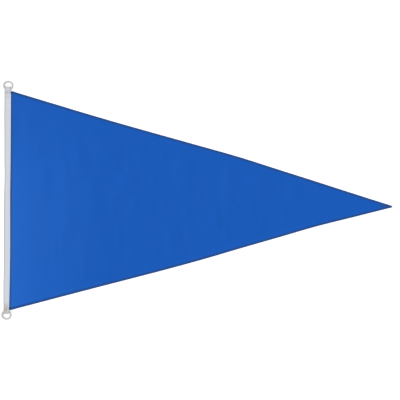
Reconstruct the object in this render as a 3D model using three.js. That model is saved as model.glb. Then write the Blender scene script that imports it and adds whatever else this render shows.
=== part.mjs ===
import * as THREE from "three";

// A triangular pennant flag laid face up on a floor, in millimetres. The flag's own places are used
// throughout: x runs from the heading's seam to the tip, y up the hoist from its middle, and z up from the
// floor. The group at the end moves the whole flag so that the middle of its box stands over the origin.

// The cloth's cut.
const HOIST = 850;
const FLY = 1478.6;
const TIP_Y = -10.6;
const TIP_HEIGHT = 6;
const CORNER_TURN = 1.6;
const CORNER_RUN = 8;

// How far the two long edges stand out past the straight line from corner to tip, at tenths of the fly.
const EDGE_BOW = [
  { share: 0.0, upper: 0.0, lower: 0.0 },
  { share: 0.1, upper: 0.0, lower: 1.0 },
  { share: 0.2, upper: 0.0, lower: 2.0 },
  { share: 0.3, upper: 1.6, lower: 3.6 },
  { share: 0.4, upper: 4.6, lower: 5.0 },
  { share: 0.5, upper: 7.8, lower: 4.4 },
  { share: 0.6, upper: 10.4, lower: 0.8 },
  { share: 0.7, upper: 7.9, lower: -2.0 },
  { share: 0.8, upper: 5.4, lower: -5.2 },
  { share: 0.9, upper: 2.4, lower: -2.6 },
  { share: 1.0, upper: 0.0, lower: 0.0 },
];

// The cloth's thickness, and the hem folded to its back along both long edges.
const CLOTH_THICK = 1.2;
const HEM_THICK = 2.2;
const HEM_WIDTH = 10;
const HEM_STEP = 3;
const EDGE_ROUND = 0.8;

// Where the cloth is too narrow for them near the tip, its rounded edge, hem and step are at most these
// shares of its width, and the panel thickens to the hems' thickness between these widths.
const NARROW_SHARES = { round: 0.12, hem: 0.28, step: 0.06 };
const NARROW_WIDTHS = { all: 2 * HEM_WIDTH, none: 4 * HEM_WIDTH };

// Low soft creases left from folding: the crest's middle, half its length and width, its rise, and its
// lean in degrees, where a positive lean takes the upper end towards the tip.
const CREASES = [
  { x: 128, y: 84, long: 95, wide: 46, rise: 1.7, lean: 0 },
  { x: 262, y: 176, long: 105, wide: 48, rise: 2.4, lean: -14 },
  { x: 380, y: 176, long: 95, wide: 50, rise: 2.1, lean: -38 },
  { x: 442, y: 66, long: 130, wide: 52, rise: 2.6, lean: 32 },
  { x: 214, y: -104, long: 105, wide: 54, rise: 1.7, lean: 8 },
  { x: 632, y: -146, long: 115, wide: 52, rise: 1.9, lean: -20 },
  { x: 668, y: 118, long: 100, wide: 50, rise: 1.6, lean: 6 },
  { x: 846, y: 62, long: 125, wide: 48, rise: 2.4, lean: 4 },
  { x: 800, y: -86, long: 90, wide: 46, rise: 1.8, lean: -38 },
  { x: 968, y: 70, long: 90, wide: 58, rise: 2.2, lean: -24 },
  { x: 1104, y: 44, long: 75, wide: 42, rise: 1.4, lean: 0 },
];
const CREASE_FADE = { hoistFrom: 15, hoistTo: 90, edgeFrom: 12, edgeTo: 55 };

// The heading: one loop of webbing down the hoist's front and back, with the cloth's edge sewn in between.
const WEB_THICK = 1.2;
const WEB_CHAMFER = 0.4;
const LAYER_GAP = 0.3;
const CLOTH_TUCK = 12;
const TUCK_HALF = 418;
const TUCK_TURN = 3;
const CLOTH_DROP_RUN = 40;

// The heading's two long edges as laid, a little uneven, and the half height over which they run.
const HEADING_EDGES = [
  { y: -400, outer: -22.9, inner: 0.0 },
  { y: -320, outer: -23.6, inner: 1.0 },
  { y: -260, outer: -22.5, inner: 1.5 },
  { y: -180, outer: -23.3, inner: 1.7 },
  { y: -60, outer: -23.9, inner: 0.7 },
  { y: 30, outer: -23.7, inner: 0.0 },
  { y: 90, outer: -22.6, inner: 0.4 },
  { y: 160, outer: -23.8, inner: 0.6 },
  { y: 240, outer: -24.7, inner: 0.4 },
  { y: 320, outer: -25.6, inner: 0.2 },
  { y: 400, outer: -25.8, inner: 0.0 },
];
const HEADING_HALF = 400;

// The two slightly oval rings, by the middle line of their wire: where each one's middle lies and how far
// past the hoist's corner. Then the heading's loop through each: its middle, how far past the near wire it
// reaches, how wide it is, and the heights on the hoist between which the heading draws in to that width.
const RING_HALF_WIDE = 16.8;
const RING_HALF_TALL = 15.6;
const WIRE_R = 3.9;
const RING_LIFT = 1.9;
const ENDS = [
  {
    name: "ring_top",
    side: 1,
    ring: { x: -11.8, past: 20.5 },
    loop: { x: -12.7, reach: 12.2, width: 21, from: 410, to: 433 },
  },
  {
    name: "ring_bottom",
    side: -1,
    ring: { x: -11.3, past: 16.6 },
    loop: { x: -10.9, reach: 11.4, width: 21.2, from: 398, to: 424 },
  },
];

// The loop's rise over the wire: where it starts before the wire, where its crest starts and ends, and how
// far its underside clears the wire.
const LOOP_RISE_FROM = -20;
const LOOP_CREST = { from: -1, to: 4.5 };
const LOOP_CLEAR = 0.3;

// How finely each surface is divided. The cloth is sliced close together where it leaves the heading, then
// evenly.
const CLOTH_NEAR = [-CLOTH_TUCK, -TUCK_TURN, 0, 3, CORNER_RUN, 16, 27];
const CLOTH_COLUMNS = 58;
const CLOTH_ROWS = 17;
const HEADING_STEPS = 16;
const LOOP_STEPS = { rise: 8, crest: 2, bend: 14 };
const RING_STEPS = { wire: 12, around: 40 };

const CLOTH_BLUE = 0x1e5cba;
const WEB_WHITE = 0xd4d7dc;
const RING_GREY = 0xc8c9c7;

const BACK_Z = WEB_THICK / 2;
const TUCK_Z = WEB_THICK + LAYER_GAP;
const FRONT_Z = TUCK_Z + CLOTH_THICK + LAYER_GAP + WEB_THICK / 2;
const RING_TILT = Math.asin(RING_LIFT / (2 * RING_HALF_TALL));
const { smoothstep, lerp, clamp, degToRad } = THREE.MathUtils;

// A table's column at a place between its rows, on a smooth curve through all of them.
function readTable(rows, place, column, at) {
  const last = rows.length - 1;
  const next = clamp(rows.findIndex((row) => row[place] >= at), 1, last);
  const [a, b] = [rows[next - 1], rows[next]];
  const before = rows[Math.max(next - 2, 0)];
  const after = rows[Math.min(next + 1, last)];
  const span = b[place] - a[place];
  const t = clamp((at - a[place]) / span, 0, 1);
  const slopeA = ((b[column] - before[column]) / (b[place] - before[place])) * span;
  const slopeB = ((after[column] - a[column]) / (after[place] - a[place])) * span;
  const rest = 1 - t;
  return (
    a[column] * rest * rest * (1 + 2 * t) +
    b[column] * t * t * (3 - 2 * t) +
    slopeA * t * rest * rest -
    slopeB * t * t * rest
  );
}

// The y of the cloth's upper (side 1) or lower (side -1) edge. The corners at the hoist are turned in a
// little, and the part tucked into the heading is cut back to clear the rings.
function clothEdge(x, side) {
  const share = Math.max(x, 0) / FLY;
  const corner = (side * HOIST) / 2;
  const tip = TIP_Y + (side * TIP_HEIGHT) / 2;
  const bow = readTable(EDGE_BOW, "share", side > 0 ? "upper" : "lower", share);
  const turn = CORNER_TURN * (1 - smoothstep(x, 0, CORNER_RUN));
  const edge = lerp(corner, tip, share) + side * (bow - turn);
  return lerp(edge, side * TUCK_HALF, smoothstep(-x, 0, TUCK_TURN));
}

// How far one crease lifts the cloth: a smooth ridge that ends level with the floor all round.
function creaseLift(crease, x, y) {
  const lean = degToRad(crease.lean);
  const along = (x - crease.x) * Math.sin(lean) + (y - crease.y) * Math.cos(lean);
  const across = (x - crease.x) * Math.cos(lean) - (y - crease.y) * Math.sin(lean);
  const reach = (along / crease.long) ** 2 + (across / crease.wide) ** 2;
  return crease.rise * Math.max(1 - reach, 0) ** 2;
}

// The height of the cloth's underside: level with the back webbing's face in the heading, then down to the
// floor, with the creases over it.
function underside(x, y) {
  const drop = TUCK_Z * (1 - smoothstep(x, 0, CLOTH_DROP_RUN));
  const toEdge = Math.min(clothEdge(x, 1) - y, y - clothEdge(x, -1));
  const fade =
    smoothstep(x, CREASE_FADE.hoistFrom, CREASE_FADE.hoistTo) *
    smoothstep(toEdge, CREASE_FADE.edgeFrom, CREASE_FADE.edgeTo);
  const creased = CREASES.reduce((sum, crease) => sum + creaseLift(crease, x, y), 0);
  return drop + fade * creased;
}

// One slice across the cloth as a closed loop of points: the lower edge, the front face up to the upper
// edge, then the back face down again. The hems' flaps make the cloth thicker along its edges, and meet
// near the tip.
function clothSlice(x) {
  const low = clothEdge(x, -1);
  const high = clothEdge(x, 1);
  const width = high - low;
  const narrow = 1 - smoothstep(width, NARROW_WIDTHS.all, NARROW_WIDTHS.none);
  const hemThick = lerp(CLOTH_THICK, HEM_THICK, smoothstep(x, 0, CORNER_RUN));
  const panelThick = lerp(CLOTH_THICK, hemThick, narrow);
  const round = Math.min(EDGE_ROUND, NARROW_SHARES.round * width);
  const hem = Math.min(HEM_WIDTH, NARROW_SHARES.hem * width);
  const flat = hem + Math.min(HEM_STEP, NARROW_SHARES.step * width);
  const lines = [
    { inset: round, thick: hemThick },
    { inset: hem, thick: hemThick },
  ];
  for (let row = 0; row < CLOTH_ROWS; row += 1) {
    lines.push({ inset: lerp(flat, width - flat, row / (CLOTH_ROWS - 1)), thick: panelThick });
  }
  lines.push({ inset: width - hem, thick: hemThick }, { inset: width - round, thick: hemThick });
  const onFace = ({ inset, thick }, share) => {
    const y = low + inset;
    return new THREE.Vector3(x, y, underside(x, y) + share * thick);
  };
  const front = lines.map((line) => onFace(line, 1));
  const back = lines.map((line) => onFace(line, 0)).reverse();
  const lowEdge = onFace({ inset: 0, thick: hemThick }, 0.5);
  const highEdge = onFace({ inset: width, thick: hemThick }, 0.5);
  return [lowEdge, ...front, highEdge, ...back];
}

// A closed body through a row of slices of equal count. A row that comes back to its start has no end
// faces.
function loft(slices, comesBack) {
  const count = slices[0].length;
  const corners = slices.flatMap((slice) => slice.flatMap((point) => point.toArray()));
  const faces = [];
  const quad = (a, b, c, d) => faces.push(a, b, c, a, c, d);
  const steps = comesBack ? slices.length : slices.length - 1;
  for (let step = 0; step < steps; step += 1) {
    const here = step * count;
    const there = ((step + 1) % slices.length) * count;
    for (let k = 0; k < count; k += 1) {
      const next = (k + 1) % count;
      quad(here + k, there + k, there + next, here + next);
    }
  }
  if (!comesBack) {
    const end = (slices.length - 1) * count;
    capSlice(faces, 0, count, false);
    capSlice(faces, end, count, true);
  }
  const geometry = new THREE.BufferGeometry();
  geometry.setAttribute("position", new THREE.Float32BufferAttribute(corners, 3));
  geometry.setIndex(faces);
  geometry.computeVertexNormals();
  return geometry;
}

// An end face: rungs between the points of a slice's front and back, from its first point to the one
// opposite.
function capSlice(faces, start, count, atEnd) {
  const add = (a, b, c) => faces.push(...(atEnd ? [a, c, b] : [a, b, c]).map((k) => start + k));
  const half = count / 2;
  for (let k = 0; k < half; k += 1) {
    const [a, b, c, d] = [k, k + 1, count - k - 1, (count - k) % count];
    if (c !== b) add(a, b, c);
    if (a !== d) add(a, c, d);
  }
}

function clothGeometry() {
  const far = Array.from({ length: CLOTH_COLUMNS }, (_, k) =>
    lerp(CLOTH_DROP_RUN, FLY, k / (CLOTH_COLUMNS - 1)),
  );
  return loft([...CLOTH_NEAR, ...far].map(clothSlice), false);
}

// The x of the heading's edges at a height on the hoist. Past the straight part they draw in to the loop's
// width.
function headingEdges(y, end) {
  const outer = readTable(HEADING_EDGES, "y", "outer", clamp(y, -HEADING_HALF, HEADING_HALF));
  const inner = readTable(HEADING_EDGES, "y", "inner", clamp(y, -HEADING_HALF, HEADING_HALF));
  if (!end) {
    return { outer, inner };
  }
  const { loop } = end;
  const gather = smoothstep(Math.abs(y), loop.from, loop.to);
  return {
    outer: lerp(outer, loop.x - loop.width / 2, gather),
    inner: lerp(inner, loop.x + loop.width / 2, gather),
  };
}

// The loop at one end as places on the webbing's middle, from the front layer over the ring's near wire,
// round the bend inside the ring and back under it.
function loopPlaces(end) {
  const wireY = HOIST / 2 + end.ring.past - RING_HALF_TALL;
  const crestZ = RING_LIFT + 2 * WIRE_R + LOOP_CLEAR + WEB_THICK / 2;
  const places = [];
  const add = (out, z) => places.push({ y: end.side * (wireY + out), z, end });
  for (let k = 1; k <= LOOP_STEPS.rise; k += 1) {
    const out = lerp(LOOP_RISE_FROM, LOOP_CREST.from, k / LOOP_STEPS.rise);
    add(out, lerp(FRONT_Z, crestZ, smoothstep(out, LOOP_RISE_FROM, LOOP_CREST.from)));
  }
  for (let k = 1; k < LOOP_STEPS.crest; k += 1) {
    add(lerp(LOOP_CREST.from, LOOP_CREST.to, k / LOOP_STEPS.crest), crestZ);
  }
  const middleZ = (crestZ + BACK_Z) / 2;
  const bendReach = end.loop.reach - WEB_THICK / 2 - LOOP_CREST.to;
  for (let k = 0; k <= LOOP_STEPS.bend; k += 1) {
    const turn = Math.PI * (k / LOOP_STEPS.bend);
    add(LOOP_CREST.to + bendReach * Math.sin(turn), middleZ + (crestZ - middleZ) * Math.cos(turn));
  }
  return places;
}

// The heading's middle line, once round: up the back, round the top loop, down the front, round the bottom
// loop.
function headingPlaces() {
  const [top, bottom] = ENDS;
  const straight = (z) =>
    Array.from({ length: HEADING_STEPS + 1 }, (_, k) => ({
      y: lerp(-HEADING_HALF, HEADING_HALF, k / HEADING_STEPS),
      z,
      end: null,
    }));
  return [
    ...straight(BACK_Z),
    ...loopPlaces(top).reverse(),
    ...straight(FRONT_Z).reverse(),
    ...loopPlaces(bottom),
  ];
}

// One slice across the webbing at a place on its middle line, square to the line there.
function headingSlice(place, before, after) {
  const { outer, inner } = headingEdges(place.y, place.end);
  const run = new THREE.Vector2(after.y - before.y, after.z - before.z).normalize();
  const half = WEB_THICK / 2;
  const corners = [
    [outer, half - WEB_CHAMFER],
    [outer, WEB_CHAMFER - half],
    [outer + WEB_CHAMFER, -half],
    [inner - WEB_CHAMFER, -half],
    [inner, WEB_CHAMFER - half],
    [inner, half - WEB_CHAMFER],
    [inner - WEB_CHAMFER, half],
    [outer + WEB_CHAMFER, half],
  ];
  return corners.map(([x, rise]) => new THREE.Vector3(x, place.y - run.y * rise, place.z + run.x * rise));
}

function headingGeometry() {
  const places = headingPlaces();
  const count = places.length;
  const slices = places.map((place, k) =>
    headingSlice(place, places[(k + count - 1) % count], places[(k + 1) % count]),
  );
  return loft(slices, true);
}

// One slice across the ring's round wire, at an angle round the ring.
function ringSlice(angle) {
  const [along, up] = [Math.cos(angle), Math.sin(angle)];
  const middle = new THREE.Vector3(RING_HALF_WIDE * along, RING_HALF_TALL * up, 0);
  const out = new THREE.Vector3(RING_HALF_TALL * along, RING_HALF_WIDE * up, 0).normalize();
  return Array.from({ length: RING_STEPS.wire }, (_, k) => {
    const turn = (2 * Math.PI * k) / RING_STEPS.wire;
    const point = middle.clone().addScaledVector(out, WIRE_R * Math.cos(turn));
    point.z = WIRE_R * Math.sin(turn);
    return point;
  });
}

// A ring of round wire, lying on the heading's back webbing on its near side and on the floor at its far
// side.
function makeRing(end) {
  const { around } = RING_STEPS;
  const slices = Array.from({ length: around }, (_, k) => ringSlice((2 * Math.PI * k) / around));
  const ring = new THREE.Mesh(
    loft(slices, true),
    new THREE.MeshStandardMaterial({ color: RING_GREY, roughness: 0.35, metalness: 0 }),
  );
  ring.name = end.name;
  ring.position.set(end.ring.x, end.side * (HOIST / 2 + end.ring.past), WIRE_R + RING_LIFT / 2);
  ring.rotation.x = -end.side * RING_TILT;
  return ring;
}

function makeCloth() {
  const cloth = new THREE.Mesh(
    clothGeometry(),
    new THREE.MeshStandardMaterial({ color: CLOTH_BLUE, roughness: 0.75, metalness: 0 }),
  );
  cloth.name = "cloth";
  return cloth;
}

function makeHeading() {
  const heading = new THREE.Mesh(
    headingGeometry(),
    new THREE.MeshStandardMaterial({ color: WEB_WHITE, roughness: 0.8, metalness: 0 }),
  );
  heading.name = "heading_tape";
  return heading;
}

const flag = new THREE.Group();
flag.add(makeCloth(), makeHeading(), ...ENDS.map(makeRing));
flag.updateMatrixWorld(true);
const box = new THREE.Box3().setFromObject(flag, true);
const middle = box.getCenter(new THREE.Vector3());
flag.position.set(-middle.x, -middle.y, -box.min.z);

export default flag;
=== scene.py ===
import math

import bpy
import numpy as np
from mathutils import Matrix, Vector


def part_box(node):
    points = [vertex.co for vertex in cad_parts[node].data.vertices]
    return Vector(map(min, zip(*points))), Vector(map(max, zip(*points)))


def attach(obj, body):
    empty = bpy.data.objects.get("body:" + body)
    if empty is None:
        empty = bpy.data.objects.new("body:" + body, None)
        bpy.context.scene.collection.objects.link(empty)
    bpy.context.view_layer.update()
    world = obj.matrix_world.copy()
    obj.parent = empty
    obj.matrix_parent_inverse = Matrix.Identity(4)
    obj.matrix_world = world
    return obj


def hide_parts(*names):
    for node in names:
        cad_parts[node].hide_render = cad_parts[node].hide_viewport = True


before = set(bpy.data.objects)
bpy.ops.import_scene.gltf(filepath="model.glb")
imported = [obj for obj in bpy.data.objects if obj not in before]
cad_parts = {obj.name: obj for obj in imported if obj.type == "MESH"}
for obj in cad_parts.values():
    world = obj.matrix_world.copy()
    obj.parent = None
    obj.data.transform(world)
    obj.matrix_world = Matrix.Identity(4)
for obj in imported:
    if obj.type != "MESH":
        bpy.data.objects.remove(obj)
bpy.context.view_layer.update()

# A triangular pennant flag laid face up on a pale floor. Its shapes are made in millimetres in the flag's
# own places, as its solids are: x from the heading's seam to the tip, y up the hoist from its middle, z up
# from the floor. SHIFT then puts them in the frame's places.

# The cloth's cut, and how far its long edges stand out past a straight line at shares of the fly.
HOIST = 850.0
FLY = 1478.6
TIP_Y = -10.6
TIP_HEIGHT = 6.0
CORNER_TURN = 1.6
CORNER_RUN = 8.0
EDGE_BOW = {
    "share": [0.0, 0.1, 0.2, 0.3, 0.4, 0.5, 0.6, 0.7, 0.8, 0.9, 1.0],
    "upper": [0.0, 0.0, 0.0, 1.6, 4.6, 7.8, 10.4, 7.9, 5.4, 2.4, 0.0],
    "lower": [0.0, 1.0, 2.0, 3.6, 5.0, 4.4, 0.8, -2.0, -5.2, -2.6, 0.0],
}

# The hoist edge, tucked in between the webbing's layers: its height, half its length, and how soon the long
# edges turn in to it. Past the seam the cloth drops to the floor in DROP_RUN.
TUCK_Z = 1.5
TUCK_HALF = 418.0
TUCK_TURN = 3.0
DROP_RUN = 40.0

# The cloth's layers. A hem's row gives the heights of the cloth's back and front at a distance in from its
# edge: two more layers folded to the back, their sewn line, the flap's end and the slope down to the floor.
# The first points of a row are on its rounded fold. The layers column is how far it takes the doubled
# cloth's deeper blue, and the last column how far it takes painted shade along the rounded fold and the
# flap.
# Near the tip a hem is at most HEM_WIDEST of the cloth's width, and the two hems fill the corner.
CLOTH_THICK = 0.5
HEM_ROWS = {
    "inset": [0.0, 0.25, 0.8, 3.0, 6.8, 8.0, 9.2, 10.0, 10.05, 11.5, 13.5, 16.0, 18.0],
    "back": [0.75, 0.35, 0.05, 0.0, 0.06, 0.26, 0.08, 0.02, 0.95, 0.86, 0.46, 0.10, 0.0],
    "front": [0.75, 1.15, 1.46, 1.52, 1.50, 1.36, 1.49, 1.48, 1.47, 1.37, 0.97, 0.60, 0.5],
    "layers": [1.0, 1.0, 1.0, 1.0, 1.0, 1.0, 1.0, 0.8, 0.35, 0.15, 0.0, 0.0, 0.0],
    "fold_shade": [0.5, 0.5, 0.6, 0.9, 0.75, 0.45, 0.15, 0.0, 0.0, 0.0, 0.0, 0.0, 0.0],
}
HEM_FOLD_POINTS = 3
HEM_SEAM = 8.0
HEM_WIDEST = 0.42
TIP_FILL = {"from": 60.0, "to": 6.0, "front": 1.46}

# The cloth's mesh: its columns by the hoist, how many more lie evenly from there to the tip, and how many
# rows lie between the hems.
CLOTH_NEAR = [-12, -9, -6, -4.5, -3, -2, -1, 0, 1, 2, 3, 4.5, 6, 8, 10.5, 13, 16, 20, 24, 29, 34]
CLOTH_COLUMNS = 236
CLOTH_ROWS = 96

# Low soft creases, the same as the solid's: middle, half length, half width, rise, and lean in degrees.
CREASES = [
    (128, 84, 95, 46, 1.7, 0),
    (262, 176, 105, 48, 2.4, -14),
    (380, 176, 95, 50, 2.1, -38),
    (442, 66, 130, 52, 2.6, 32),
    (214, -104, 105, 54, 1.7, 8),
    (632, -146, 115, 52, 1.9, -20),
    (668, 118, 100, 50, 1.6, 6),
    (846, 62, 125, 48, 2.4, 4),
    (800, -86, 90, 46, 1.8, -38),
    (968, 70, 90, 58, 2.2, -24),
    (1104, 44, 75, 42, 1.4, 0),
]

# Finer wrinkles that run along and between them.
WRINKLES = [
    (62, 300, 46, 20, 1.8, 0),
    (80, -115, 34, 14, 0.7, 0),
    (108, 203, 42, 16, 0.8, 0),
    (127, 100, 45, 20, 0.6, 0),
    (173, -190, 95, 14, 1.0, 0),
    (205, 308, 30, 26, 0.7, 0),
    (208, 80, 90, 36, 1.3, 0),
    (218, -75, 45, 18, 0.4, 20),
    (262, 165, 76, 28, 0.4, 4),
    (290, -287, 30, 12, 0.9, 0),
    (304, 238, 48, 14, 0.9, -22),
    (320, 55, 50, 30, 0.9, 0),
    (345, 200, 24, 20, 0.8, 70),
    (393, -40, 55, 18, 0.8, 0),
    (412, 200, 35, 20, 0.4, 0),
    (420, -130, 60, 16, 0.9, 0),
    (428, 82, 85, 14, 0.6, 36),
    (480, -12, 45, 16, 0.8, 28),
    (512, 205, 28, 16, 0.7, 0),
    (548, -55, 26, 13, 0.7, 0),
    (553, 82, 48, 20, 1.0, 0),
    (588, 172, 45, 20, 0.9, 0),
    (588, -28, 28, 20, 0.7, 0),
    (618, -138, 62, 18, 1.1, -16),
    (668, 58, 48, 30, 0.7, 0),
    (682, -38, 34, 24, 0.7, 0),
    (690, -128, 42, 22, 0.9, 0),
    (732, 20, 40, 13, 0.9, 0),
    (762, -92, 55, 14, 0.9, -50),
    (798, -52, 62, 26, 1.2, -8),
    (842, 110, 56, 17, 0.5, 0),
    (845, 35, 30, 22, 0.3, -20),
    (838, -125, 45, 20, 1.2, -18),
    (874, -22, 40, 18, 1.2, -35),
    (938, 70, 32, 26, 0.3, 0),
    (984, -55, 45, 20, 0.9, 22),
    (1044, 65, 38, 11, 0.9, 0),
    (1058, -42, 30, 18, 0.9, -15),
    (1218, 8, 40, 16, 0.4, 6),
]
CREASE_FADE = {"hoist": (15, 90), "edge": (12, 55)}

# Unevenness too fine to place by hand: the size of its cells, its seed and its rise. Streaks and ripples
# are what stands above a level, the pucker follows the hems, the pull the seam, and the waver the webbing.
# The noise repeats after NOISE_GRID cells, and the flag's zero is NOISE_START cells along it. The streaks
# lean by STREAK_LEAN from the hoist's direction.
NOISE_GRID = 64
NOISE_START = 1000
STREAKS = {"cell": (44, 210), "seed": 3, "above": 0.42, "rise": 1.5}
STREAK_LEAN = 0.12
RIPPLES = {"cell": (19, 64), "seed": 5, "above": 0.4, "rise": 0.9}
PUCKER = {"cell": (22, 400), "seed": 7, "rise": 0.8, "edge": (10, 34), "hoist": (6, 30)}
PULL = {"cell": (400, 11), "seed": 9, "rise": 0.3, "starts": (0, 6), "ends": (10, 46)}
WAVER = {"cell": (60, 17), "seed": 11, "rise": 0.10}

# The heading: webbing up the hoist's back and down its front, in one loop through both rings, and its edges
# as laid. Its front is what lies above BETWEEN_Z, and lies lower where no cloth is sewn in under it.
WEB_THICK = 1.1
BACK_Z = 0.7
FRONT_Z = 2.75
BETWEEN_Z = 2.0
FRONT_FALL = {"depth": 0.9, "across": (8.5, 17), "fade": 3.0}
HEADING_HALF = 400.0
HEADING_STEPS = 200
HEADING_EDGES = {
    "y": [-400, -320, -260, -180, -60, 30, 90, 160, 240, 320, 400],
    "outer": [-22.9, -23.6, -22.5, -23.3, -23.9, -23.7, -22.6, -23.8, -24.7, -25.6, -25.8],
    "inner": [0.0, 1.0, 1.5, 1.7, 0.7, 0.0, 0.4, 0.6, 0.4, 0.2, 0.0],
}

# Half the webbing's thickness at a distance in from its edge: a rounded selvedge, then the sewn line's
# groove. A few more points lie between the rows of its two edges.
WEB_ROWS = {
    "inset": [0.0, 0.12, 0.45, 1.0, 1.7, 2.4, 3.0, 3.6, 4.6, 6.5],
    "half": [0.0, 0.34, 0.57, 0.62, 0.57, 0.54, 0.46, 0.54, 0.55, 0.55],
}
WEB_SEAM = 3.0
WEB_BETWEEN = {"inset": 8.5, "points": 4}

# The oval rings: half the width and height of the wire's middle line. For each its middle's x and how far
# past the hoist's corner it lies, then its loop of webbing: the loop's middle, its reach past the near
# wire, its width, and the heights on the hoist between which the heading draws in to that width. A loop
# rises from one place before the near wire's middle line to a level crest over it, clear of the wire.
WIRE_R = 3.9
RING_HALF_WIDE = 16.8
RING_HALF_TALL = 15.6
RING_LIFT = 1.9
RING_STEPS = {"around": 120, "wire": 40}
PARTING = {"rise": 0.14, "half_angle": 0.07}
ENDS = [
    {
        "name": "ring_top",
        "piece": "ring_upper",
        "side": 1,
        "ring": {"x": -11.8, "past": 20.5},
        "loop": {"x": -12.7, "reach": 12.2, "width": 21.0, "gather": (410, 433)},
    },
    {
        "name": "ring_bottom",
        "piece": "ring_lower",
        "side": -1,
        "ring": {"x": -11.3, "past": 16.6},
        "loop": {"x": -10.9, "reach": 11.4, "width": 21.2, "gather": (398, 424)},
    },
]
LOOP_RISE_FROM = -20.0
LOOP_CREST = (-1.0, 4.5)
LOOP_CLEAR = 0.3
LOOP_STEPS = {"rise": 24, "crest": 6, "bend": 30}

# Stitches: pitch along the row, how much of it shows, thread radius. THREAD_ROWS shapes one stitch along
# its length: its rise and size as shares of the radius. The rows stop short of the tip and the heading's
# ends, and the stitches across a loop's foot zigzag by their sway.
STITCH_PITCH = 3.0
STITCH_SHOWN = 0.78
THREAD_R = 0.17
STITCH_SUNK = 0.1
THREAD_SIDES = 6
THREAD_ROWS = {
    "share": [0.0, 0.16, 0.5, 0.84, 1.0],
    "rise": [-1.1, 0.1, 0.45, 0.1, -1.1],
    "size": [0.6, 0.95, 1.0, 0.95, 0.6],
}
HEM_ROW_FROM = 2.5
HEM_ROW_SHORT = 8.0
HEADING_ROW_SHORT = 2.0
BARTACKS = {"out": [-20.0, -23.0, -26.0], "turns": 22, "sway": 0.8}

# Base colours. The cloth is darker where its hems are folded over, and painted shade darkens it along the
# hems' rounded folds and where it turns in under the webbing.
CLOTH_COLOUR = (0.0102, 0.1050, 0.502)
HEM_COLOUR = (0.0105, 0.093, 0.400)
# Painted shade, for the hems' rounded folds, the cloth turning in under the webbing and the tip.
FOLD_SHADE_COLOUR = (0.0260, 0.074, 0.225)
# Painted light, a brighter and whiter blue where light from the side falls near the hoist.
HOIST_LIGHT_COLOUR = (0.0205, 0.140, 0.600)
WEB_COLOUR = (0.665, 0.688, 0.736)
WEB_OVER_CLOTH = (0.60, 0.75, 1.00)
# Darker and warmer, where the webbing passes round the rings.
WEB_NEAR_RINGS = (0.50, 0.46, 0.44)
# Painted shade along the webbing's rounded outer selvedge.
WEB_SELVEDGE_SHADE = (0.445, 0.455, 0.475)
RING_COLOUR = (0.615, 0.620, 0.608)
BLUE_THREAD = (0.010, 0.085, 0.39)
WHITE_THREAD = (0.62, 0.63, 0.67)
FLOOR_COLOUR = (0.93, 0.93, 0.93)

# Where the cloth takes the painted shade of a fold: along the seam, where it turns in, and at the tip, from
# one width of the cloth to a narrower one.
TURN_SHADE = {"from": 2.0, "to": 9.5, "share": 0.85}
TIP_SHADE = {"from": 40.0, "to": 14.0}

# How much painted light falls on the cloth near the hoist, along it from the heading and up the hoist.
HOIST_LIGHT_ALONG = {"x": [0, 90, 200, 370], "share": [1.0, 0.5, 0.33, 0.0]}
HOIST_LIGHT_UP = {"y": [-400, -100, 60, 250, 400], "share": [1.05, 1.0, 0.95, 0.45, 0.3]}

# Where the webbing is tinted by the cloth under it, where painted shade lies along its rounded outer
# selvedge, and where it
# is darker and warmer near the rings: how far out past the hoist's corner that starts and is lost again,
# more at the lower ring, and less near the inner edge.
OVER_CLOTH = {"across": (-12, -1), "out": (-8, 2)}
SELVEDGE_SHADE = (1.5, 4.5)
RING_DARKENING = {
    "starts": (-36, -6),
    "lost": (-2, 5),
    "loss": 0.6,
    "upper": 0.12,
    "inner": (8, 2),
    "inner_loss": 0.75,
}

# The materials' fine detail. Pitches are in metres, grains are noise scales for each metre, and shades are
# shares of the base colour. A bump is a depth in metres and a strength, and a roughness is a share of its
# pattern and a base. What a surface has all over is listed by its shader's sockets.
CLOTH_LOOK = {
    "warp": 0.00050,
    "weft": 0.00056,
    "weft_slubs": (60, 2400, 60),
    "warp_slubs": (2400, 50, 60),
    "broad": (9, 3, 1),
    "shade": 0.93,
    "weave_shade": 0.05,
    "slub_shade": 0.05,
    "broad_shade": 0.07,
    "slub_rise": 0.35,
    "bump": (0.00006, 0.7),
    "roughness": (0.12, 0.66),
}
CLOTH_SOCKETS = {
    "Specular IOR Level": 0.15,
    "Specular Tint": (0.3, 0.6, 1.0, 1.0),
    "Sheen Weight": 0.08,
    "Sheen Roughness": 0.5,
    "Sheen Tint": (0.05, 0.25, 1.0, 1.0),
}
WEB_LOOK = {
    "ribs": 0.00082,
    "picks": 0.00068,
    "rib_share": 0.6,
    "fibres": (2600, 260, 900),
    "broad": 26.0,
    "shade": 0.955,
    "rib_shade": 0.035,
    "fibre_shade": 0.06,
    "broad_shade": 0.05,
    "fibre_rise": 0.3,
    "bump": (0.00010, 0.8),
    "roughness": (0.12, 0.72),
}
WEB_SOCKETS = {"Specular IOR Level": 0.3, "Sheen Weight": 0.08}
RING_LOOK = {
    "mottle": 140.0,
    "grain": 2200.0,
    "scuffs": (300, 1500, 600),
    "shade": 0.96,
    "mottle_shade": 0.08,
    "scuffed_above": 0.66,
    "scuff_shade": -0.05,
    "scuff_rise": 0.5,
    "bump": (0.00002, 0.6),
    "roughness": (0.22, 0.27),
}
THREAD_LOOK = {
    "twist": 0.00016,
    "lean": 35,
    "fuzz": 3000.0,
    "shade": 0.88,
    "fuzz_shade": 0.2,
    "twist_shade": 0.08,
    "bump": (0.00003, 0.7),
}
THREAD_SOCKETS = {"Roughness": 0.55}
FLOOR_LOOK = {"grain": 3.0, "grain_shade": 0.01, "shade": 0.995}
FLOOR_SOCKETS = {
    "Roughness": 0.9,
    "Specular IOR Level": 0.1,
    "Emission Color": (1.0, 1.0, 1.0, 1.0),
    "Emission Strength": 0.35,
}

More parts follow.
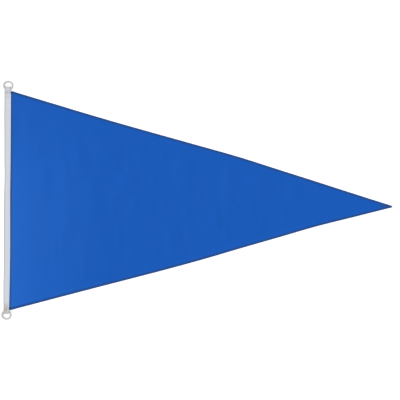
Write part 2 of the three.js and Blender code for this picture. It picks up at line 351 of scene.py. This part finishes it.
# Faces that meet at more than this many degrees keep a sharp edge.
SHARP_ANGLE = 55

# The camera, straight above the flag: the flag's place at the picture's middle, the picture's width there
# in metres, and the flag's small turn in it.
VIEW_MIDDLE = (734.6, 8.7)
VIEW_WIDTH = 1.5488
VIEW_TURN = 0.00843
LENS = 100.0
SENSOR = 36.0
CLIP_END = 50

# The studio, in metres: a floor just under the flag, a wide light over it, and a soft one from the side
# that is so far off that it is even all over the floor.
FLOOR_HALF = 40.0
FLOOR_Z = -0.0002
STUDIO_STRENGTH = 0.52
OVERHEAD = {"height": 5.5, "size": 6, "power": 75}
SIDE_SUN = {"towards": (-1.1, 0.30, 0.62), "strength": 1.85, "angle": 40}

cloth_low, cloth_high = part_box("cloth")
SHIFT = np.array([cloth_high.x * 1000 - FLY, (cloth_low.y + cloth_high.y) / 2 * 1000, 0.0])


def smooth(value, low, high):
    """A soft step from 0 at low to 1 at high."""
    share = np.clip((value - low) / (high - low), 0, 1)
    return share * share * (3 - 2 * share)


def lerp(a, b, share):
    return a + (b - a) * share


def read_table(places, values, at):
    """The values at places between a table's rows, on a smooth curve through all of them."""
    places = np.asarray(places, float)
    values = np.asarray(values, float)
    slopes = np.empty(len(values))
    slopes[1:-1] = (values[2:] - values[:-2]) / (places[2:] - places[:-2])
    slopes[0] = (values[1] - values[0]) / (places[1] - places[0])
    slopes[-1] = (values[-1] - values[-2]) / (places[-1] - places[-2])
    at = np.clip(at, places[0], places[-1])
    k = np.clip(np.searchsorted(places, at) - 1, 0, len(places) - 2)
    span = places[k + 1] - places[k]
    t = (at - places[k]) / span
    rest = 1 - t
    ends = values[k] * rest**2 * (1 + 2 * t) + values[k + 1] * t**2 * (3 - 2 * t)
    return ends + slopes[k] * span * t * rest**2 - slopes[k + 1] * span * t**2 * rest


def read_rows(rows, column, inset):
    """A column of the hem's or webbing's rows at distances in from the edge."""
    return np.interp(inset, rows["inset"], rows[column])


def soft_noise(x, y, field):
    """Smooth noise from 0 to 1 with the field's cells and seed."""
    grid = np.random.RandomState(field["seed"]).rand(NOISE_GRID, NOISE_GRID)
    cell_x, cell_y = field["cell"]
    u = np.asarray(x) / cell_x + NOISE_START
    v = np.asarray(y) / cell_y + NOISE_START
    i = np.floor(u).astype(int)
    j = np.floor(v).astype(int)
    s = smooth(u - i, 0, 1)
    t = smooth(v - j, 0, 1)
    i, next_i = i % NOISE_GRID, (i + 1) % NOISE_GRID
    j, next_j = j % NOISE_GRID, (j + 1) % NOISE_GRID
    low = lerp(grid[i, j], grid[next_i, j], s)
    high = lerp(grid[i, next_j], grid[next_i, next_j], s)
    return lerp(low, high, t)


def noise_ridges(x, y, field):
    """Low ridges where the field's noise stands above its level."""
    return field["rise"] * np.maximum(soft_noise(x, y, field) - field["above"], 0) ** 1.5


def ridges(x, y, rows):
    """The lift of a list of creases, each a soft oval mound."""
    lift = np.zeros(np.broadcast(x, y).shape)
    for mid_x, mid_y, long, wide, rise, lean in rows:
        turn = math.radians(lean)
        along = (x - mid_x) * math.sin(turn) + (y - mid_y) * math.cos(turn)
        across = (x - mid_x) * math.cos(turn) - (y - mid_y) * math.sin(turn)
        lift += rise * np.maximum(1 - (along / long) ** 2 - (across / wide) ** 2, 0) ** 2
    return lift


def cloth_edge(x, side):
    """The y of the cloth's upper (side 1) or lower (side -1) edge."""
    share = np.maximum(x, 0) / FLY
    line = lerp(side * HOIST / 2, TIP_Y + side * TIP_HEIGHT / 2, share)
    bow = read_table(EDGE_BOW["share"], EDGE_BOW["upper" if side > 0 else "lower"], share)
    turn = CORNER_TURN * (1 - smooth(x, 0, CORNER_RUN))
    return lerp(line + side * (bow - turn), side * TUCK_HALF, smooth(-x, 0, TUCK_TURN))


def underside(x, y):
    """The height of the cloth's underside: between the webbing's layers, then creased on the floor."""
    drop = TUCK_Z * (1 - smooth(x, 0, DROP_RUN))
    to_edge = np.minimum(cloth_edge(x, 1) - y, y - cloth_edge(x, -1))
    inside = smooth(x, *CREASE_FADE["hoist"]) * smooth(to_edge, *CREASE_FADE["edge"])
    lift = ridges(x, y, CREASES) + ridges(x, y, WRINKLES)
    lift += noise_ridges(x + STREAK_LEAN * y, y, STREAKS) + noise_ridges(x, y, RIPPLES)
    pucker = PUCKER["rise"] * soft_noise(x, y, PUCKER) ** 2
    pucker = pucker * (1 - smooth(to_edge, *PUCKER["edge"])) * smooth(x, *PUCKER["hoist"])
    pull = PULL["rise"] * soft_noise(x, y, PULL) ** 2
    pull = pull * smooth(x, *PULL["starts"]) * (1 - smooth(x, *PULL["ends"]))
    return drop + inside * lift + pucker + pull


def hem_scale(x):
    """Near the tip the hems narrow so that they meet and don't cross."""
    width = cloth_edge(x, 1) - cloth_edge(x, -1)
    return np.minimum(1, HEM_WIDEST * width / HEM_ROWS["inset"][-1])


def cloth_surface(x, inset, side, column):
    """Points on the cloth's front or back at a distance in from one of its long edges."""
    y = cloth_edge(x, side) - side * inset * hem_scale(x)
    layered = read_rows(HEM_ROWS, column, inset)
    plain = CLOTH_THICK if column == "front" else 0.0
    return y, underside(x, y) + lerp(plain, layered, smooth(x, 0, CORNER_RUN))


def make_piece(name, points, faces, marks=None):
    """A piece of the flag from points in its own millimetres. marks are vertex attributes by name."""
    mesh = bpy.data.meshes.new(name)
    mesh.from_pydata(((points + SHIFT) / 1000).tolist(), [], faces)
    for key, values in (marks or {}).items():
        layer = mesh.attributes.new(key, "FLOAT", "POINT")
        layer.data.foreach_set("value", np.ascontiguousarray(values, np.float32).ravel())
    mesh.validate()
    mesh.polygons.foreach_set("use_smooth", [True] * len(mesh.polygons))
    mesh.set_sharp_from_angle(angle=math.radians(SHARP_ANGLE))
    piece = bpy.data.objects.new(name, mesh)
    bpy.context.scene.collection.objects.link(piece)
    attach(piece, "root")
    return piece


def loft(name, slices, comes_back, marks=None):
    """A closed mesh through slices, an array of slice by point by xyz."""
    steps, count = slices.shape[:2]
    ids = np.arange(steps * count).reshape(steps, count)
    here = ids if comes_back else ids[:-1]
    there = np.roll(ids, -1, axis=0) if comes_back else ids[1:]
    corners = [here, there, np.roll(there, -1, axis=1), np.roll(here, -1, axis=1)]
    faces = np.stack(corners, axis=-1).reshape(-1, 4).tolist()
    if not comes_back:
        faces += end_faces(steps, count)
    return make_piece(name, slices.reshape(-1, 3), faces, marks)


def end_faces(steps, count):
    """The faces that close a loft's first and last slice, in strips from its front to its back."""
    faces = []
    for k in range(count // 2):
        strip = list(dict.fromkeys([k, k + 1, count - k - 1, (count - k) % count]))
        faces.append(strip)
        faces.append([corner + (steps - 1) * count for corner in reversed(strip)])
    return faces


def make_cloth():
    """The cloth's front and back with its hems, and marks for where it is layered, where painted shade lies
    in its folds and where painted light falls near the hoist.
    """
    x = np.array([*CLOTH_NEAR, *np.linspace(DROP_RUN, FLY, CLOTH_COLUMNS)])[:, None]
    low = cloth_edge(x, -1)
    high = cloth_edge(x, 1)
    hem = np.array(HEM_ROWS["inset"])[None, :] * hem_scale(x)
    share = np.linspace(0, 1, CLOTH_ROWS + 2)[1:-1][None, :]
    panel = lerp(low + hem[:, -1:], high - hem[:, -1:], share)
    y = np.concatenate([low + hem, panel, (high - hem)[:, ::-1]], axis=1)
    sewn = smooth(x, 0, CORNER_RUN)

    def across(column, plain):
        edge = lerp(plain, np.array(HEM_ROWS[column])[None, :], sewn)
        return np.concatenate([edge, np.full((len(x), CLOTH_ROWS), plain), edge[:, ::-1]], axis=1)

    front = across("front", CLOTH_THICK)
    back = across("back", 0.0)
    flat = slice(HEM_FOLD_POINTS, -HEM_FOLD_POINTS)
    filled = smooth(x, FLY - TIP_FILL["from"], FLY - TIP_FILL["to"])
    front[:, flat] = np.maximum(front, lerp(CLOTH_THICK, TIP_FILL["front"], filled))[:, flat]
    front[:, 0] = back[:, 0] = lerp(CLOTH_THICK / 2, HEM_ROWS["front"][0], sewn[:, 0])
    front[:, -1] = back[:, -1] = front[:, 0]

    base = underside(x, y)
    xs = np.broadcast_to(x, y.shape)
    up = np.stack([xs, y, base + front], axis=-1)
    down = np.stack([xs, y, base + back], axis=-1)[:, 1:-1][:, ::-1]

    # Painted shade where the cloth turns in under the webbing and at the tip, added to that along the hems'
    # folds.
    turned_in = TURN_SHADE["share"] * (1 - smooth(x, TURN_SHADE["from"], TURN_SHADE["to"]))
    fold_shade = 1 - (1 - across("fold_shade", 0.0)) * (1 - turned_in)
    fold_shade = np.maximum(fold_shade, smooth(high - low, TIP_SHADE["from"], TIP_SHADE["to"]))
    # Painted light near the hoist, along the cloth and up the hoist.
    hoist_light = read_table(HOIST_LIGHT_ALONG["x"], HOIST_LIGHT_ALONG["share"], xs)
    hoist_light = hoist_light * read_table(HOIST_LIGHT_UP["y"], HOIST_LIGHT_UP["share"], y)
    marks = {"layers": across("layers", 0.0), "fold_shade": fold_shade, "hoist_light": hoist_light}
    marks = {key: np.concatenate([v, v[:, 1:-1][:, ::-1]], axis=1) for key, v in marks.items()}
    return loft("flag_cloth", np.concatenate([up, down], axis=1), False, marks)


def heading_edges(y, end):
    """The x of the heading's outer and inner edge. Past the straight part they draw in to the loop."""
    at = np.clip(y, -HEADING_HALF, HEADING_HALF)
    outer = read_table(HEADING_EDGES["y"], HEADING_EDGES["outer"], at)
    inner = read_table(HEADING_EDGES["y"], HEADING_EDGES["inner"], at)
    if end is None:
        return outer, inner
    loop = end["loop"]
    gather = smooth(abs(y), *loop["gather"])
    half = loop["width"] / 2
    return lerp(outer, loop["x"] - half, gather), lerp(inner, loop["x"] + half, gather)


def loop_places(end):
    """One end's loop: from the front layer over the ring's near wire, round the bend and back under it."""
    wire_y = HOIST / 2 + end["ring"]["past"] - RING_HALF_TALL
    crest_z = RING_LIFT + 2 * WIRE_R + LOOP_CLEAR + WEB_THICK / 2
    crest_from, crest_to = LOOP_CREST
    reach = end["loop"]["reach"] - WEB_THICK / 2 - crest_to
    middle_z = (crest_z + BACK_Z) / 2
    rise = [
        (out, lerp(FRONT_Z, crest_z, smooth(out, LOOP_RISE_FROM, crest_from)))
        for out in np.linspace(LOOP_RISE_FROM, crest_from, LOOP_STEPS["rise"])[1:]
    ]
    crest = [(out, crest_z) for out in np.linspace(crest_from, crest_to, LOOP_STEPS["crest"])[1:-1]]
    bend = [
        (crest_to + reach * math.sin(turn), middle_z + (crest_z - middle_z) * math.cos(turn))
        for turn in np.linspace(0, math.pi, LOOP_STEPS["bend"])
    ]
    return [(end["side"] * (wire_y + out), z, end) for out, z in rise + crest + bend]


def heading_places():
    """The y, z and end of the webbing's slices: up the back, round a loop, down the front, round a loop."""
    straight = np.linspace(-HEADING_HALF, HEADING_HALF, HEADING_STEPS)
    back = [(y, BACK_Z, None) for y in straight]
    front = [(y, FRONT_Z, None) for y in straight[::-1]]
    return [*back, *loop_places(ENDS[0])[::-1], *front, *loop_places(ENDS[1])]


def front_fall(x, z):
    """How far the front layer lies lower where no cloth is sewn in under it."""
    fall = FRONT_FALL["depth"] * smooth(-x, *FRONT_FALL["across"])
    return fall * (1 - smooth(z, FRONT_Z, FRONT_Z + FRONT_FALL["fade"])) * smooth(z, BACK_Z, FRONT_Z)


def web_across(outer, inner):
    """The x of a slice's points: the rows of both edges and the points between them."""
    insets = np.array(WEB_ROWS["inset"])
    past = WEB_BETWEEN["inset"]
    between = np.linspace(outer + past, inner - past, WEB_BETWEEN["points"])
    return np.concatenate([outer + insets, between, (inner - insets)[::-1]])


def darkening_near_rings(y, from_inner):
    """How much darker and warmer the webbing is near the rings, at a place up the hoist and a distance from
    its inner edge.
    """
    out = abs(y) - HOIST / 2
    darker = smooth(out, *RING_DARKENING["starts"]) * (1 - RING_DARKENING["loss"] * smooth(out, *RING_DARKENING["lost"]))
    darker = darker * (1.0 if y < 0 else RING_DARKENING["upper"])
    return darker * (1 - RING_DARKENING["inner_loss"] * smooth(from_inner, *RING_DARKENING["inner"]))


def make_heading():
    """The webbing in slices along its loop, with marks for its tint, its darkening near the rings, the
    painted shade along its selvedge, and its weave.
    """
    places = heading_places()
    slices = []
    marks = {"tucked": [], "near_rings": [], "selvedge_shade": [], "across": [], "along": []}
    travelled = 0.0
    for k, (y, z, end) in enumerate(places):
        before = places[k - 1]
        after = places[(k + 1) % len(places)]
        run = np.array([after[0] - before[0], after[1] - before[1]])
        run /= np.hypot(*run)
        goes_down = run[0] < 0
        in_front = z > BETWEEN_Z
        outer, inner = heading_edges(y, end)
        x = web_across(outer, inner)
        half = read_rows(WEB_ROWS, "half", np.minimum(x - outer, inner - x))
        fall = front_fall(x, z) if goes_down else 0 * x
        waver = WAVER["rise"] * (soft_noise(x, y + 0 * x, WAVER) - 0.5) if in_front else 0 * x

        def face(turn):
            rise = turn * half + waver
            return np.stack([x, y - run[1] * rise, z + run[0] * rise - fall], axis=-1)

        slices.append(np.concatenate([face(1), face(-1)[1:-1][::-1]])[::-1])
        xs = np.concatenate([x, x[1:-1][::-1]])[::-1]
        shown = 1.0 if goes_down and in_front else 0.0
        covered = 1 - smooth(abs(y) - HOIST / 2, *OVER_CLOTH["out"])
        travelled += math.hypot(y - before[0], z - before[1]) if k else 0
        marks["tucked"].append(shown * smooth(xs, *OVER_CLOTH["across"]) * covered)
        # Darker and warmer near the rings.
        marks["near_rings"].append(darkening_near_rings(y, inner - xs))
        # Painted shade along the rounded outer selvedge.
        marks["selvedge_shade"].append(1 - smooth(xs - outer, *SELVEDGE_SHADE))
        marks["across"].append((xs - outer) / 1000)
        marks["along"].append(np.full(len(xs), travelled / 1000))
    marks = {key: np.array(values) for key, values in marks.items()}
    return loft("heading_webbing", np.array(slices), True, marks)


def make_ring(end):
    """A ring of round wire with the faint line where the two halves of its mould met."""
    around = np.linspace(0, 2 * math.pi, RING_STEPS["around"], endpoint=False)
    section = np.linspace(0, 2 * math.pi, RING_STEPS["wire"], endpoint=False)
    from_line = np.minimum(section % math.pi, math.pi - section % math.pi)
    radius = WIRE_R + PARTING["rise"] * np.exp(-(from_line / PARTING["half_angle"]) ** 2)
    out = (radius * np.cos(section))[None, :]
    away = np.array([RING_HALF_TALL * np.cos(around), RING_HALF_WIDE * np.sin(around)])
    away = (away / np.hypot(*away))[..., None]
    x = RING_HALF_WIDE * np.cos(around)[:, None] + out * away[0]
    flat_y = RING_HALF_TALL * np.sin(around)[:, None] + out * away[1]
    flat_z = np.broadcast_to(radius * np.sin(section), (len(around), len(section)))
    tilt = math.asin(RING_LIFT / (2 * RING_HALF_TALL)) * -end["side"]
    y = flat_y * math.cos(tilt) - flat_z * math.sin(tilt)
    z = flat_y * math.sin(tilt) + flat_z * math.cos(tilt)
    ring = end["ring"]
    middle = np.array([ring["x"], end["side"] * (HOIST / 2 + ring["past"]), WIRE_R + RING_LIFT / 2])
    return loft(end["piece"], np.stack([x, y, z], axis=-1) + middle, True)


def thread_pieces(name, starts, ends, ups):
    """Short lengths of thread, each dipping into the cloth at both its ends."""
    starts, ends, ups = (np.concatenate(v).astype(float) for v in (starts, ends, ups))
    run = ends - starts
    run /= np.linalg.norm(run, axis=1, keepdims=True)
    side = np.cross(run, ups)
    side /= np.linalg.norm(side, axis=1, keepdims=True)
    angles = np.linspace(0, 2 * math.pi, THREAD_SIDES, endpoint=False)
    rings = []
    for share, rise, size in zip(THREAD_ROWS["share"], THREAD_ROWS["rise"], THREAD_ROWS["size"]):
        middle = lerp(starts, ends, share) + ups * rise * THREAD_R
        for angle in angles:
            rings.append(middle + THREAD_R * size * (math.cos(angle) * side + math.sin(angle) * ups))
    faces = []
    for step in range(len(THREAD_ROWS["share"]) - 1):
        for k in range(THREAD_SIDES):
            a = step * THREAD_SIDES + k
            b = step * THREAD_SIDES + (k + 1) % THREAD_SIDES
            faces.append([a, b, b + THREAD_SIDES, a + THREAD_SIDES])
    first_points = (np.arange(len(starts)) * len(rings))[:, None, None]
    quads = (np.array(faces)[None] + first_points).reshape(-1, 4)
    return make_piece(name, np.stack(rings, axis=1).reshape(-1, 3), quads.tolist())


def row_of_stitches(places, up):
    """The starts, ends and up directions of the stitches along a row of points, one between each two."""
    middle = (places[1:] + places[:-1]) / 2
    run = places[1:] - places[:-1]
    starts = middle - run * STITCH_SHOWN / 2
    ends = middle + run * STITCH_SHOWN / 2
    return starts, ends, np.tile(np.array((0, 0, up), float), (len(starts), 1))


def make_hem_stitches():
    """One row along each hem, front and back."""
    rows = []
    length = math.hypot(FLY, HOIST / 2)
    x = np.linspace(HEM_ROW_FROM, FLY - HEM_ROW_SHORT, int(length / STITCH_PITCH))
    for side in (-1, 1):
        for column, up in (("front", 1), ("back", -1)):
            y, z = cloth_surface(x, np.full(len(x), HEM_SEAM), side, column)
            rows.append(row_of_stitches(np.stack([x, y, z], axis=-1), up))
    return thread_pieces("hem_stitches", *zip(*rows))


def heading_height(x, y, up):
    """The height of the webbing's front (up 1) or back (up -1) where it is sewn."""
    outer, inner = heading_edges(y, None)
    half = read_rows(WEB_ROWS, "half", np.minimum(x - outer, inner - x))
    if up < 0:
        return BACK_Z - half + STITCH_SUNK
    return FRONT_Z - front_fall(x, np.full(len(x), FRONT_Z)) + half


def make_heading_stitches():
    """Two rows down the heading and three short ones across the foot of each loop, front and back."""
    rows = []

    def sew(x, y, up):
        rows.append(row_of_stitches(np.stack([x, y, heading_height(x, y, up)], axis=-1), up))

    row_half = HEADING_HALF - HEADING_ROW_SHORT
    y = np.linspace(-row_half, row_half, int(2 * HEADING_HALF / STITCH_PITCH))
    outer, inner = heading_edges(y, None)
    turns = BARTACKS["turns"]
    sway = np.tile([BARTACKS["sway"], -BARTACKS["sway"]], turns // 2)
    for up in (1, -1):
        sew(outer + WEB_SEAM, y, up)
        sew(inner - WEB_SEAM, y, up)
        for side in (-1, 1):
            for out in BARTACKS["out"]:
                at = np.full(turns, side * (HOIST / 2 + out)) + sway
                left, right = heading_edges(at, None)
                sew(np.linspace(left[0] + WEB_SEAM, right[0] - WEB_SEAM, turns), at, up)
    return thread_pieces("heading_stitches", *zip(*rows))


def new_material(name, sockets=None):
    """A material with what it has all over set on its shader's sockets."""
    material = bpy.data.materials.new(name)
    material.use_nodes = True
    shader = material.node_tree.nodes["Principled BSDF"]
    for socket, value in (sockets or {}).items():
        shader.inputs[socket].default_value = value
    return material, material.node_tree, shader


def add_node(tree, kind, inputs=None, **settings):
    made = tree.nodes.new(kind)
    for key, value in settings.items():
        setattr(made, key, value)
    for key, value in (inputs or {}).items():
        if isinstance(value, bpy.types.NodeSocket):
            tree.links.new(value, made.inputs[key])
        else:
            made.inputs[key].default_value = value
    return made


def calc(tree, operation, a, b=0.0, c=0.0):
    return add_node(tree, "ShaderNodeMath", {0: a, 1: b, 2: c}, operation=operation).outputs[0]


def add_share(tree, base, pattern, share):
    """base with a share of a pattern added."""
    return calc(tree, "MULTIPLY_ADD", pattern, share, base)


def add_even(tree, base, pattern, share):
    """base with a share of a noise added, as much above it as below."""
    return add_share(tree, base, calc(tree, "SUBTRACT", pattern, 0.5), share)


def wave(tree, place, pitch):
    """A sine along a coordinate in metres, once up and down in each two threads."""
    return calc(tree, "SINE", calc(tree, "MULTIPLY", place, math.pi / pitch))


def mix_colour(tree, share, a, b):
    made = add_node(tree, "ShaderNodeMix", {0: share}, data_type="RGBA")
    for socket, value in ((made.inputs[6], a), (made.inputs[7], b)):
        if isinstance(value, bpy.types.NodeSocket):
            tree.links.new(value, socket)
        else:
            socket.default_value = (*value, 1.0)
    return made.outputs[2]


def noise(tree, where, scale, detail=2.0):
    inputs = {"Vector": where, "Scale": scale, "Detail": detail}
    return add_node(tree, "ShaderNodeTexNoise", inputs).outputs["Fac"]


def grain(tree, where, scales, detail=2.0):
    """Noise with a scale of its own along each axis."""
    stretched = add_node(tree, "ShaderNodeMapping", {"Vector": where, "Scale": scales}).outputs["Vector"]
    return noise(tree, stretched, 1.0, detail)


def object_place(tree):
    return add_node(tree, "ShaderNodeTexCoord").outputs["Object"]


def mark(tree, name):
    """The shares that a piece's points carry under a name."""
    made = add_node(tree, "ShaderNodeAttribute", attribute_name=name, attribute_type="GEOMETRY")
    return made.outputs["Fac"]


def set_colour(tree, shader, colour, shade):
    shaded = add_node(tree, "ShaderNodeVectorMath", {0: colour, "Scale": shade}, operation="SCALE")
    tree.links.new(shaded.outputs[0], shader.inputs["Base Color"])


def set_bump(tree, shader, height, bump):
    distance, strength = bump
    made = add_node(tree, "ShaderNodeBump", {"Height": height, "Distance": distance, "Strength": strength})
    tree.links.new(made.outputs["Normal"], shader.inputs["Normal"])


def set_roughness(tree, shader, pattern, roughness):
    share, base = roughness
    tree.links.new(add_share(tree, base, pattern, share), shader.inputs["Roughness"])


def cloth_material():
    """Plain-woven polyester: threads over and under each other, a little uneven in thickness and colour."""
    look = CLOTH_LOOK
    material, tree, shader = new_material("woven_polyester", CLOTH_SOCKETS)
    where = object_place(tree)
    place = add_node(tree, "ShaderNodeSeparateXYZ", {0: where})
    warp = wave(tree, place.outputs["X"], look["warp"])
    weft = wave(tree, place.outputs["Y"], look["weft"])
    weave = calc(tree, "MULTIPLY", warp, weft)
    weft_slubs = grain(tree, where, look["weft_slubs"])
    warp_slubs = grain(tree, where, look["warp_slubs"])
    slubs = calc(tree, "ADD", weft_slubs, warp_slubs)
    broad = grain(tree, where, look["broad"], 3.0)
    shade = add_share(tree, look["shade"], weave, look["weave_shade"])
    shade = add_share(tree, shade, slubs, look["slub_shade"])
    shade = add_even(tree, shade, broad, look["broad_shade"])
    # Painted light near the hoist.
    colour = mix_colour(tree, mark(tree, "hoist_light"), CLOTH_COLOUR, HOIST_LIGHT_COLOUR)
    colour = mix_colour(tree, mark(tree, "layers"), colour, HEM_COLOUR)
    # Painted shade along the hems' folds, where the cloth turns in and at the tip.
    colour = mix_colour(tree, mark(tree, "fold_shade"), colour, FOLD_SHADE_COLOUR)
    set_colour(tree, shader, colour, shade)
    set_bump(tree, shader, add_share(tree, weave, slubs, look["slub_rise"]), look["bump"])
    set_roughness(tree, shader, weft_slubs, look["roughness"])
    return material


def webbing_material():
    """Woven webbing: ribs along it crossed by fine picks, with painted shade along its outer selvedge, and
    darker and warmer near the rings, most at the lower one.
    """
    look = WEB_LOOK
    material, tree, shader = new_material("white_webbing", WEB_SOCKETS)
    where = object_place(tree)
    ribs = wave(tree, mark(tree, "across"), look["ribs"])
    picks = wave(tree, mark(tree, "along"), look["picks"])
    weave = calc(tree, "MULTIPLY", ribs, picks)
    ribbing = add_share(tree, weave, calc(tree, "ABSOLUTE", ribs), look["rib_share"])
    fibres = grain(tree, where, look["fibres"])
    broad = noise(tree, where, look["broad"], 3.0)
    shade = add_share(tree, look["shade"], ribbing, look["rib_shade"])
    shade = add_even(tree, shade, fibres, look["fibre_shade"])
    shade = add_even(tree, shade, broad, look["broad_shade"])
    colour = mix_colour(tree, mark(tree, "tucked"), WEB_COLOUR, WEB_OVER_CLOTH)
    # Painted shade along the outer selvedge.
    colour = mix_colour(tree, mark(tree, "selvedge_shade"), colour, WEB_SELVEDGE_SHADE)
    # Darker and warmer near the rings.
    colour = mix_colour(tree, mark(tree, "near_rings"), colour, WEB_NEAR_RINGS)
    set_colour(tree, shader, colour, shade)
    set_bump(tree, shader, add_share(tree, ribbing, fibres, look["fibre_rise"]), look["bump"])
    set_roughness(tree, shader, fibres, look["roughness"])
    return material


def ring_material():
    """Moulded plastic: nearly smooth, with faint mottling and handling marks."""
    look = RING_LOOK
    material, tree, shader = new_material("ring_plastic")
    where = object_place(tree)
    mottle = noise(tree, where, look["mottle"], 4.0)
    fine = noise(tree, where, look["grain"], 3.0)
    scuffs = grain(tree, where, look["scuffs"], 4.0)
    scuffed = calc(tree, "GREATER_THAN", scuffs, look["scuffed_above"])
    shade = add_share(tree, look["shade"], mottle, look["mottle_shade"])
    shade = add_share(tree, shade, scuffed, look["scuff_shade"])
    set_colour(tree, shader, RING_COLOUR, shade)
    set_roughness(tree, shader, scuffs, look["roughness"])
    set_bump(tree, shader, add_share(tree, fine, scuffs, look["scuff_rise"]), look["bump"])
    return material


def thread_material(name, base):
    """Sewing thread: fine twisted strands."""
    look = THREAD_LOOK
    material, tree, shader = new_material(name, THREAD_SOCKETS)
    where = object_place(tree)
    lean = (0, 0, math.radians(look["lean"]))
    turned = add_node(tree, "ShaderNodeMapping", {"Vector": where, "Rotation": lean}).outputs["Vector"]
    place = add_node(tree, "ShaderNodeSeparateXYZ", {0: turned})
    twist = wave(tree, place.outputs["X"], look["twist"])
    shade = add_share(tree, look["shade"], noise(tree, where, look["fuzz"]), look["fuzz_shade"])
    shade = add_share(tree, shade, twist, look["twist_shade"])
    set_colour(tree, shader, base, shade)
    set_bump(tree, shader, twist, look["bump"])
    return material


def floor_material():
    look = FLOOR_LOOK
    material, tree, shader = new_material("pale_floor", FLOOR_SOCKETS)
    fine = noise(tree, object_place(tree), look["grain"])
    set_colour(tree, shader, FLOOR_COLOUR, add_share(tree, look["shade"], fine, look["grain_shade"]))
    return material


def make_camera():
    data = bpy.data.cameras.new("camera")
    data.lens = LENS
    data.sensor_width = SENSOR
    data.clip_end = CLIP_END
    camera = bpy.data.objects.new("camera", data)
    camera.location = (*(np.array(VIEW_MIDDLE) + SHIFT[:2]) / 1000, VIEW_WIDTH * LENS / SENSOR)
    camera.rotation_euler = (0, 0, VIEW_TURN)
    bpy.context.scene.collection.objects.link(camera)
    bpy.context.scene.camera = camera


def make_floor():
    mesh = bpy.data.meshes.new("floor")
    corners = [(-1, -1), (1, -1), (1, 1), (-1, 1)]
    mesh.from_pydata([(x * FLOOR_HALF, y * FLOOR_HALF, FLOOR_Z) for x, y in corners], [], [(0, 1, 2, 3)])
    mesh.materials.append(floor_material())
    floor = bpy.data.objects.new("floor", mesh)
    bpy.context.scene.collection.objects.link(floor)


def make_lights():
    world = bpy.data.worlds.new("studio")
    world.use_nodes = True
    background = world.node_tree.nodes["Background"]
    background.inputs["Color"].default_value = (1, 1, 1, 1)
    background.inputs["Strength"].default_value = STUDIO_STRENGTH
    bpy.context.scene.world = world

    data = bpy.data.lights.new("overhead", "AREA")
    data.shape = "RECTANGLE"
    data.size = data.size_y = OVERHEAD["size"]
    data.energy = OVERHEAD["power"]
    overhead = bpy.data.objects.new("overhead", data)
    overhead.location = (0, 0, OVERHEAD["height"])
    overhead.visible_camera = False
    bpy.context.scene.collection.objects.link(overhead)

    data = bpy.data.lights.new("side", "SUN")
    data.energy = SIDE_SUN["strength"]
    data.angle = math.radians(SIDE_SUN["angle"])
    sun = bpy.data.objects.new("side", data)
    sun.rotation_euler = Vector(SIDE_SUN["towards"]).to_track_quat("Z", "Y").to_euler()
    bpy.context.scene.collection.objects.link(sun)
    bpy.context.scene.view_settings.view_transform = "Standard"


make_camera()
make_floor()
make_lights()

cloth = make_cloth()
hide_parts("cloth")
heading = make_heading()
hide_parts("heading_tape")
rings = [make_ring(end) for end in ENDS]
for ring, end in zip(rings, ENDS):
    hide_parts(end["name"])
hem_stitches = make_hem_stitches()
heading_stitches = make_heading_stitches()

cloth.data.materials.append(cloth_material())
heading.data.materials.append(webbing_material())
plastic = ring_material()
for ring in rings:
    ring.data.materials.append(plastic)
hem_stitches.data.materials.append(thread_material("blue_thread", BLUE_THREAD))
heading_stitches.data.materials.append(thread_material("white_thread", WHITE_THREAD))
